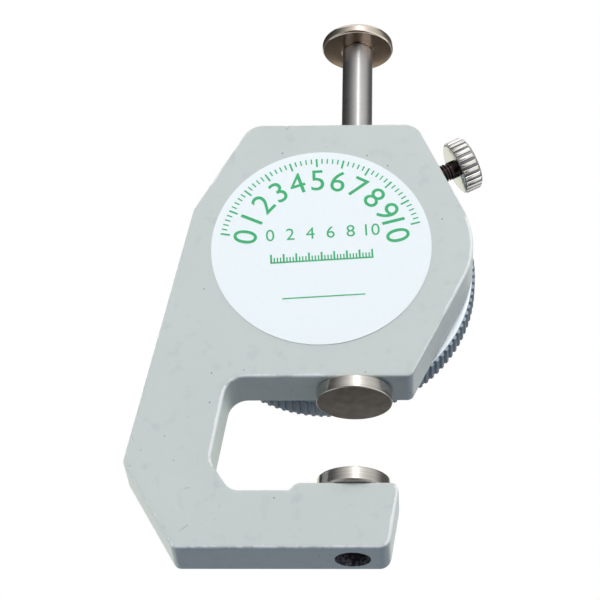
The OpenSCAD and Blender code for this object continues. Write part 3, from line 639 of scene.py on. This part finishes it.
# ridges round a turned piece: one bar with a narrowed, rounded crest, carried round the Z axis
def ridgeRing(look, seat=0.3, smoothDeg=50):
    thick = look["ridgeDeep"] + seat   # the bar reaches into the piece that carries it
    long, middle = look["to"] - look["from"], (look["from"] + look["to"]) / 2
    others = look["count"] - 1
    bpy.ops.object.select_all(action="DESELECT")
    bpy.ops.mesh.primitive_cube_add(size=1, location=(mm(look["crestR"] - thick / 2), 0, mm(middle)))
    bar = bpy.context.object
    bar.scale = (mm(thick), mm(look["rootWide"]), mm(long))
    applyPlace(bar)
    bpy.ops.object.mode_set(mode="EDIT")
    selectFaces(bar, lambda centre, normal: normal.x > facing)
    bpy.ops.transform.resize(value=(1, look["crestWide"] / look["rootWide"], 1 - 2 * look["ends"] / long))
    bpy.ops.mesh.bevel(offset=mm(look["rounding"]), segments=3, affect="EDGES")
    bpy.ops.mesh.select_all(action="SELECT")
    bpy.ops.mesh.spin(dupli=True, steps=others, angle=2 * math.pi * others / look["count"],
                      center=(0, 0, 0), axis=(0, 0, 1))
    faceOutwards()
    smoothByAngle(bar, smoothDeg)
    return bar


# measuring face: lapped, duller than the turned side
def lapFace(piece, level):
    dressFaces(piece, finish["lapped"], lambda centre, normal: abs(centre.z - mm(level)) < slack)


# contact disc: ground edge, bevelled top, threaded hole over the spindle's stud
discLook = {"r": 5.9, "edge": 0.2, "slope": 0.15, "hole": 1.5, "holeDeep": 1.4}


def makeContactDisc(look):
    low, high = (point.z * 1000 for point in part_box("contact_disc"))
    profile = [(0, low)] + corner(look["r"] - look["edge"], low + look["edge"], look["edge"], -90, 0)
    profile += corner(look["r"] - look["slope"], high - look["slope"], look["slope"], 0, 90, steps=3)
    profile += [(look["hole"], high), (look["hole"], high - look["holeDeep"]), (0, high - look["holeDeep"])]
    piece = turnedPiece("contactDisc", profile)
    dress(piece, finish["disc"], "spindle", "ground_steel", "contact_disc")
    lapFace(piece, low)


# lift button: flat underside with a well round the rod, bull-nosed rim, domed top
buttonLook = {"r": 5.9, "lip": 0.5, "lipTall": 0.45, "rim": 1.0, "round": 0.95, "tall": 2.9, "domeEnd": 4, "well": 2.9,
              "wellDeep": 0.5, "rod": 2.5, "stud": 1.5, "studDeep": 1.4, "underside": -0.95}


def makeLiftButton(look):
    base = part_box("lift_button")[0].z * 1000
    crown = look["r"] - look["round"]
    dome = look["tall"] - look["rim"] - look["round"]
    profile = [(look["stud"], 0), (look["stud"], look["studDeep"]), (0, look["studDeep"])]
    profile += corner(0, look["tall"] - dome, crown, 90, look["domeEnd"], steps=12, tall=dome)
    profile += corner(crown, look["rim"], look["round"], 90, 0, steps=10)
    profile += corner(look["r"] - look["lip"], look["lipTall"], look["lip"], 0, -90, steps=8, tall=look["lipTall"])
    profile += [(look["well"], 0), (look["well"], look["wellDeep"]), (look["rod"], look["wellDeep"]), (look["rod"], 0)]
    piece = turnedPiece("liftButton", [(radius, height + base) for radius, height in profile])
    dress(piece, finish["plate"], "spindle", "plated_steel", "lift_button")
    # painted shade on the downward faces of the button's underside
    dressFaces(piece, finish["undersideShade"], lambda centre, normal: normal.z < look["underside"]
               and centre.z < mm(base + look["lipTall"]))


# anvil: ground disc with a tapped stud in the jaw
anvilLook = {"r": 5.6, "edge": 0.15, "under": 0.25, "seat": 10.6, "stud": 1.6, "studLow": 6.6, "hole": 1.0,
             "holeTop": 9.6}


def makeAnvil(look):
    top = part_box("anvil")[1].z * 1000
    profile = [(0, top)] + corner(look["r"] - look["edge"], top - look["edge"], look["edge"], 90, 0)
    profile += [(look["r"], look["seat"] + look["under"]), (look["r"] - look["under"], look["seat"])]
    profile += [(look["stud"], look["seat"]), (look["stud"], look["studLow"])]
    profile += [(look["hole"], look["studLow"]), (look["hole"], look["holeTop"]), (0, look["holeTop"])]
    piece = turnedPiece("anvilDisc", profile)
    dress(piece, finish["disc"], "frame", "ground_steel", "anvil")
    lapFace(piece, top)


# what is modelled about Z is turned to face the dial's reader, at a depth
def onDial(depthMm):
    place = (mm(gaugePlan["dialX"]), mm(depthMm), mm(gaugePlan["dialZ"]))
    return Matrix.Translation(place) @ Matrix.Rotation(math.radians(90), 4, "X")


# and what belongs to the lock is tilted onto the lock screw's axis
def onLock():
    tilt = Matrix.Rotation(math.radians(gaugePlan["lockAngle"] - 90), 4, "Y")
    return Matrix.Translation((0, 0, mm(gaugePlan["lockZ"]))) @ tilt


# bezel: turned ring with a lip over the crystal, sloping nose, ridged band
bezelLook = {"bore": 21.05, "lip": 20.0, "rear": 5.1, "root": 23.05, "slopeFrom": 10.1, "nose": 11.0, "lipFrom": 10.3,
             "rearRound": 0.15, "noseRound": 0.2, "ease": 0.1, "steps": 240,
             "crestR": 23.45, "ridgeDeep": 0.4, "from": 5.1, "to": 9.8, "rootWide": 0.94, "crestWide": 0.5,
             "ends": 0.15, "rounding": 0.08, "count": 120, "bandUnder": 0.05, "bandPast": 0.1}


def makeBezel(look):
    nose = look["root"] - (look["nose"] - look["slopeFrom"])
    rear, soft, ease = look["rearRound"], look["noseRound"], look["ease"]
    profile = [(look["bore"], look["rear"])]
    profile += corner(look["root"] - rear, look["rear"] + rear, rear, -90, 0, steps=4)
    profile += corner(look["root"] - soft, look["slopeFrom"] - ease, soft, 0, 45, steps=3)
    profile += corner(nose - ease, look["nose"] - soft, soft, 45, 90, steps=3)
    profile += corner(look["lip"] + soft, look["nose"] - soft, soft, 90, 180, steps=4)
    profile += [(look["lip"], look["lipFrom"]), (look["bore"], look["lipFrom"])]
    piece = joinAll([turnedPiece("bezelRing", profile, look["steps"]), ridgeRing(look)], "bezelRing")
    piece.matrix_world = onDial(0)
    applyPlace(piece)
    dress(piece, finish["alloy"], "bezel", "bezel_alloy", "bezel")
    bandR, bandEnd = mm(look["root"] - look["bandUnder"]), -mm(look["to"] + look["bandPast"])
    dialX, dialZ = mm(gaugePlan["dialX"]), mm(gaugePlan["dialZ"])
    # painted shade: the ridged band takes the darker, bluer copy of the bezel metal
    dressFaces(piece, finish["band"], lambda centre, normal: math.hypot(centre.x - dialX, centre.z - dialZ) > bandR
               and centre.y > bandEnd)


# lock knob: reeded edge with broad rounded reeds
knobLook = {"reach": 17.9, "root": 4.02, "tall": 3.1, "hole": 1.45, "holeDeep": 1.6,
            "footIn": 0.05, "footRound": 0.06, "headIn": 0.25, "headRound": 0.35,
            "crestR": 4.4, "ridgeDeep": 0.4, "from": 0.05, "to": 2.95, "rootWide": 0.95, "crestWide": 0.58,
            "ends": 0.16, "rounding": 0.2, "count": 24, "grooveShare": 0.97, "groovePast": 0.12, "grooveTilt": 0.3}


def makeLockKnob(look):
    foot, head = look["footRound"], look["headRound"]
    profile = [(look["hole"], 0)] + corner(look["root"] - look["footIn"], foot, foot, -90, 0, steps=3)
    profile += corner(look["root"] - look["headIn"], look["tall"] - head, head, 0, 90, steps=5)
    profile += [(0, look["tall"]), (0, look["holeDeep"]), (look["hole"], look["holeDeep"])]
    piece = joinAll([turnedPiece("lockKnob", profile), ridgeRing(look)], "lockKnob")
    onAxis = onLock()
    piece.matrix_world = onAxis @ Matrix.Translation((0, 0, mm(look["reach"])))
    applyPlace(piece)
    dress(piece, finish["knob"], "lock_screw", "plated_steel", "lock_knob")
    offAxis, along = onAxis.inverted(), onAxis.col[2].to_3d()
    grooveFrom, grooveTo = mm(look["root"]) * look["grooveShare"], mm(look["root"] + look["groovePast"])
    # painted shade on the groove floors and flanks between the reeds
    dressFaces(piece, finish["grooveShade"], lambda centre, normal: abs(normal.dot(along)) < look["grooveTilt"]
               and grooveFrom < (offAxis @ centre).xy.length < grooveTo)


# spindle: ground rod with a stud at each end, a seat for the rack and a cross hole for the guide pin
spindleLook = {"r": 2.5, "stud": 1.5, "studLong": 1.4, "seatX": 1.5, "seatLow": 49.2, "seatHigh": 67.2, "seatClear": 3,
               "pinX": -0.9, "pinZ": 66.0, "pinR": 0.6, "pinSides": 32}


def cutAway(piece, cutter):
    applyPlace(cutter)
    addModifier(piece, "BOOLEAN", operation="DIFFERENCE", solver="EXACT", object=cutter)
    bpy.data.objects.remove(cutter)


def makeSpindle(look):
    low, high = (point.z * 1000 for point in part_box("spindle"))
    foot, head = low + look["studLong"], high - look["studLong"]
    profile = [(0, low), (look["stud"], low), (look["stud"], foot), (look["r"], foot)]
    profile += [(look["r"], look["seatLow"] - look["seatClear"]), (look["r"], look["seatHigh"] + look["seatClear"])]
    profile += [(look["r"], head), (look["stud"], head), (look["stud"], high), (0, high)]
    piece = turnedPiece("spindleRod", profile)
    middle = (look["seatLow"] + look["seatHigh"]) / 2
    bpy.ops.mesh.primitive_cube_add(size=1, location=(mm(look["seatX"] + look["r"]), 0, mm(middle)))
    bpy.context.object.scale = (mm(2 * look["r"]), mm(4 * look["r"]), mm(look["seatHigh"] - look["seatLow"]))
    cutAway(piece, bpy.context.object)
    bpy.ops.mesh.primitive_cylinder_add(vertices=look["pinSides"], radius=mm(look["pinR"]), depth=mm(4 * look["r"]),
                                        location=(mm(look["pinX"]), 0, mm(look["pinZ"])),
                                        rotation=(math.radians(90), 0, 0))
    cutAway(piece, bpy.context.object)
    smoothByAngle(piece)
    dress(piece, finish["rod"], "spindle", "ground_steel", "spindle")


makeSpindle(spindleLook)
makeContactDisc(discLook)
makeLiftButton(buttonLook)
makeAnvil(anvilLook)
makeBezel(bezelLook)
makeLockKnob(knobLook)
print("turned pieces made")

# pieces whose CAD shape is right, smoothed and dressed
dressed = (
    ("back_label", "labelDisc", "frame", "label_film", "film"),
    ("upper_bush", "upperBush", "frame", "brass", "brass"),
    ("lower_bush", "lowerBush", "frame", "brass", "brass"),
    ("anvil_screw", "anvilScrew", "frame", "dark_steel", "blackSteel"),
    ("dial_plate", "dialPlate", "bezel", "dial_enamel", "dial"),
    ("crystal", "dialCrystal", "bezel", "clear_crystal", "crystal"),
    ("spacer_ring", "spacerRing", "bezel", "black_plastic", "plastic"),
    ("pointer", "pointerHand", "pointer", "black_enamel", "black"),
    ("pointer_cap", "pointerCap", "pointer", "plated_steel", "plate"),
    ("hairspring", "hairSpiral", "frame", "spring_steel", "spring"),
)
for nodeName, name, body, slotName, look in dressed:
    dress(mergedCopy(nodeName, name), finish[look], body, slotName, nodeName)
# inner pieces that keep their CAD mesh
hidden = {"rack": "brass", "guide_pin": "rod", "spring_post": "rod", "pinion_shaft": "brass", "pivot_bush": "brass",
          "bridge_plate": "brass", "bridge_screws": "rod", "hairspring_collet": "brass", "hairspring_stud": "brass",
          "dial_clip_ring": "spring", "bezel_wire": "spring", "lock_pad": "brass"}
for nodeName, look in hidden.items():
    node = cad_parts[nodeName]
    node.data.materials.clear()
    node.data.materials.append(finish[look])
print("carried pieces dressed:", len(dressed) + len(hidden))

# return spring: a loop on the post, close coils, a loop on the guide pin
springLook = {"low": (-4.393, -4.2, 37.402), "high": (-0.9, -4.2, 66.0), "wire": 0.36, "radius": 0.95, "turns": 15,
              "turnSteps": 20, "lead": 2.5, "hook": 0.8, "lowLoop": (60, -270), "highLoop": (-90, 240), "loopSteps": 22,
              "bendAlong": 1.6, "bendSide": 0.3, "smoothDeg": 60}


def makeReturnSpring(look):
    low, high = Vector(look["low"]), Vector(look["high"])
    axis = (high - low).normalized()
    depth = Vector((0, 1, 0))
    side = depth.cross(axis)
    room = (high - low).length - 2 * look["lead"]
    bend = axis * look["bendAlong"] - depth * look["bendSide"]

    def loop(centre, fromDeg, toDeg):
        eye = corner(0, 0, look["hook"], fromDeg, toDeg, look["loopSteps"])
        return [centre + out * side + up * axis for out, up in eye]

    points = loop(low, *look["lowLoop"]) + [low + bend]
    steps = look["turns"] * look["turnSteps"]
    for k in range(steps + 1):
        turn = 2 * math.pi * k / look["turnSteps"]
        around = look["radius"] * (math.cos(turn) * side + math.sin(turn) * depth)
        points.append(low + axis * (look["lead"] + room * k / steps) + around)
    points += [high - bend] + loop(high, *look["highLoop"])
    bpy.ops.curve.primitive_nurbs_path_add()
    wire = bpy.context.object
    wire.name = "returnSpring"
    wire.data.splines.clear()
    spline = wire.data.splines.new("POLY")
    spline.points.add(len(points) - 1)
    for spot, place in zip(spline.points, points):
        spot.co = (mm(place.x), mm(place.y), mm(place.z), 1)
    wire.data.bevel_depth = mm(look["wire"] / 2)
    wire.data.bevel_resolution = 2
    wire.data.use_fill_caps = True
    pickOnly(wire)
    bpy.ops.object.convert(target="MESH")
    wire = bpy.context.object
    smoothByAngle(wire, look["smoothDeg"])
    wire.data.materials.clear()
    wire.data.materials.append(finish["spring"])
    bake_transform(wire)
    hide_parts("return_spring")


makeReturnSpring(springLook)
print("return spring made")

# lock screw: core with a plain neck, and a rolled thread round it
screwLook = {"start": 10.0, "end": 19.45, "core": 1.2, "coreSides": 40, "footBevel": 0.2, "neck": 1.45,
             "neckEase": 0.15, "crest": 1.45, "pitch": 0.5, "threadFrom": 10.3, "threadTo": 16.8, "threadIn": 0.1,
             "rootHalf": 0.21, "crestHalf": 0.05, "threadSteps": 32}


def screwCore(look):
    bpy.ops.mesh.primitive_cylinder_add(vertices=look["coreSides"], radius=mm(look["core"]),
                                        depth=mm(look["threadTo"] - look["start"]),
                                        location=(0, 0, mm((look["start"] + look["threadTo"]) / 2)))
    core = bpy.context.object
    applyPlace(core)
    bpy.ops.object.mode_set(mode="EDIT")
    selectFaces(core, lambda centre, normal: normal.z < -facing)
    bpy.ops.mesh.bevel(offset=mm(look["footBevel"]), segments=2)
    selectFaces(core, lambda centre, normal: normal.z > facing)
    swell = look["neck"] / look["core"]
    neckLong = look["end"] - look["threadTo"] - look["neckEase"]
    bpy.ops.mesh.extrude_region_move(TRANSFORM_OT_translate={"value": (0, 0, mm(look["neckEase"]))})
    bpy.ops.transform.resize(value=(swell, swell, 1))
    bpy.ops.mesh.extrude_region_move(TRANSFORM_OT_translate={"value": (0, 0, mm(neckLong))})
    bpy.ops.object.mode_set(mode="OBJECT")
    return core


# one section of the thread, carried round by the screw modifier and closed at its ends
def screwThread(look):
    root, crest = mm(look["core"] - look["threadIn"]), mm(look["crest"])
    wide, tip = mm(look["rootHalf"]), mm(look["crestHalf"])
    bpy.ops.mesh.primitive_plane_add(size=1, location=(0, 0, 0))
    thread = bpy.context.object
    section = [(root, -wide), (crest, -tip), (root, wide), (crest, tip)]
    for vert, (radius, height) in zip(thread.data.vertices, section):
        vert.co = (radius, 0, height + mm(look["threadFrom"]))
    editAll(thread)
    bpy.ops.mesh.delete(type="ONLY_FACE")
    turns = int((look["threadTo"] - look["threadFrom"]) / look["pitch"])
    addModifier(thread, "SCREW", axis="Z", screw_offset=mm(look["pitch"]), iterations=turns,
                steps=look["threadSteps"], render_steps=look["threadSteps"], use_merge_vertices=False)
    editAll(thread)
    bpy.ops.mesh.remove_doubles(threshold=weld)
    bpy.ops.mesh.select_all(action="DESELECT")
    bpy.ops.mesh.select_mode(type="EDGE")
    bpy.ops.mesh.select_non_manifold()
    bpy.ops.mesh.fill()
    faceOutwards()
    return thread


def makeLockScrew(look):
    piece = joinAll([screwCore(look), screwThread(look)], "lockScrew")
    piece.matrix_world = onLock()
    applyPlace(piece)
    smoothByAngle(piece)
    dress(piece, finish["blackSteel"], "lock_screw", "dark_steel", "lock_screw")


makeLockScrew(screwLook)
print("lock screw made")


# thin printed mark, drawn upright at a place on its face
def printBar(wide, tall, thick):
    bpy.ops.object.select_all(action="DESELECT")
    bpy.ops.mesh.primitive_plane_add(size=1)
    bar = bpy.context.object
    bar.scale = (mm(wide), mm(tall), 1)
    applyPlace(bar)
    editAll(bar)
    bpy.ops.mesh.extrude_region_move(TRANSFORM_OT_translate={"value": (0, 0, mm(thick))})
    faceOutwards()
    return bar


def printNumber(number, tall, thick):
    bpy.ops.object.select_all(action="DESELECT")
    bpy.ops.object.text_add()
    figure = bpy.context.object
    figure.data.body = str(number)
    figure.data.size = mm(tall)
    figure.data.align_x = "CENTER"
    figure.data.align_y = "CENTER"
    figure.data.extrude = mm(thick / 2)
    pickOnly(figure)
    bpy.ops.object.convert(target="MESH")
    figure = bpy.context.object
    editAll(figure)
    bpy.ops.mesh.remove_doubles(threshold=weld / 2)
    bpy.ops.transform.translate(value=(0, 0, mm(thick / 2)))
    bpy.ops.object.mode_set(mode="OBJECT")
    return figure


# clockwise turn about the face's centre, then out along the turned upright
def onFace(mark, face, degrees=0, reach=0, side=0, turnMark=True):
    turn = Matrix.Rotation(math.radians(-degrees), 4, "Z")
    place = turn @ Vector((mm(side), mm(reach), 0))
    spin = turn if turnMark else Matrix.Identity(4)
    mark.matrix_world = face @ Matrix.Translation(place) @ spin
    applyPlace(mark)
    return mark


# dial: a hundred divisions of a tenth, numbers for whole millimetres; marks are width and length
dialLook = {"depth": -7.59, "outer": 19.3, "divisions": 100, "minor": (0.16, 1.1), "middle": (0.22, 1.6),
            "major": (0.34, 2.3), "numbers": 10, "numberR": 14.3, "numberMm": 3.6, "thick": 0.03}


def makeDialPrint(look):
    face = onDial(look["depth"])
    patterns = {kind: printBar(*look[kind], look["thick"]) for kind in ("minor", "middle", "major")}
    marks = []
    for k in range(look["divisions"]):
        kind = "major" if k % 10 == 0 else "middle" if k % 5 == 0 else "minor"
        reach = look["outer"] - look[kind][1] / 2
        marks.append(onFace(copyOf(patterns[kind]), face, k * 360 / look["divisions"], reach))
    for k in range(look["numbers"]):
        figure = printNumber(k, look["numberMm"], look["thick"])
        marks.append(onFace(figure, face, k * 360 / look["numbers"], look["numberR"], turnMark=False))
    for pattern in patterns.values():
        bpy.data.objects.remove(pattern)
    dress(joinAll(marks, "dialPrint"), finish["ink"], "bezel", "black_enamel")


makeDialPrint(dialLook)
print("dial printed")

# label: a plain scale on an arc, a straight scale with numbers, a ruled line to write on; marks are width and length
labelLook = {"centre": (5.3415, 4.71, 51.2), "tilt": -3.5, "thick": 0.025, "short": (0.22, 0.9), "tall": (0.3, 1.5),
             "arcFrom": -78, "arcSpan": 156, "arcNumbers": 10, "arcR": 12.0, "arcMm": 5.4,
             "arcTicks": 50, "tickR": 16.2, "rowFrom": -8, "rowNumbers": 6, "rowStep": 3.2, "rowUp": 2.4, "rowMm": 3.0,
             "ticks": 33, "tickStep": 0.5, "ticksUp": -2.5, "baseLine": (16.3, 0.25),
             "ruledLine": (13.0, 0.22), "ruledUp": -9.0}


def makeLabelPrint(look):
    place = Matrix.Translation([mm(x) for x in look["centre"]])
    upright = Matrix.Rotation(math.pi, 4, "Z") @ Matrix.Rotation(math.radians(90), 4, "X")
    face = place @ upright @ Matrix.Rotation(math.radians(-look["tilt"]), 4, "Z")
    thick = look["thick"]
    marks = []
    for k in range(look["arcNumbers"] + 1):
        degrees = look["arcFrom"] + look["arcSpan"] * k / look["arcNumbers"]
        marks.append(onFace(printNumber(k, look["arcMm"], thick), face, degrees, look["arcR"]))
    patterns = {kind: printBar(*look[kind], thick) for kind in ("short", "tall")}
    for k in range(look["arcTicks"] + 1):
        kind = "tall" if k % 5 == 0 else "short"
        degrees = look["arcFrom"] + look["arcSpan"] * k / look["arcTicks"]
        marks.append(onFace(copyOf(patterns[kind]), face, degrees, look["tickR"] - look[kind][1] / 2))
    for k in range(look["rowNumbers"]):
        figure = printNumber(2 * k, look["rowMm"], thick)
        marks.append(onFace(figure, face, 0, look["rowUp"], look["rowFrom"] + look["rowStep"] * k))
    for k in range(look["ticks"]):
        kind = "tall" if k % 4 == 0 else "short"
        up = look["ticksUp"] + look[kind][1] / 2
        marks.append(onFace(copyOf(patterns[kind]), face, 0, up, look["rowFrom"] + look["tickStep"] * k))
    marks.append(onFace(printBar(*look["baseLine"], thick), face, 0, look["ticksUp"]))
    marks.append(onFace(printBar(*look["ruledLine"], thick), face, 0, look["ruledUp"]))
    for pattern in patterns.values():
        bpy.data.objects.remove(pattern)
    dress(joinAll(marks, "labelPrint"), finish["green"], "frame", "label_film")


makeLabelPrint(labelLook)
print("label printed")
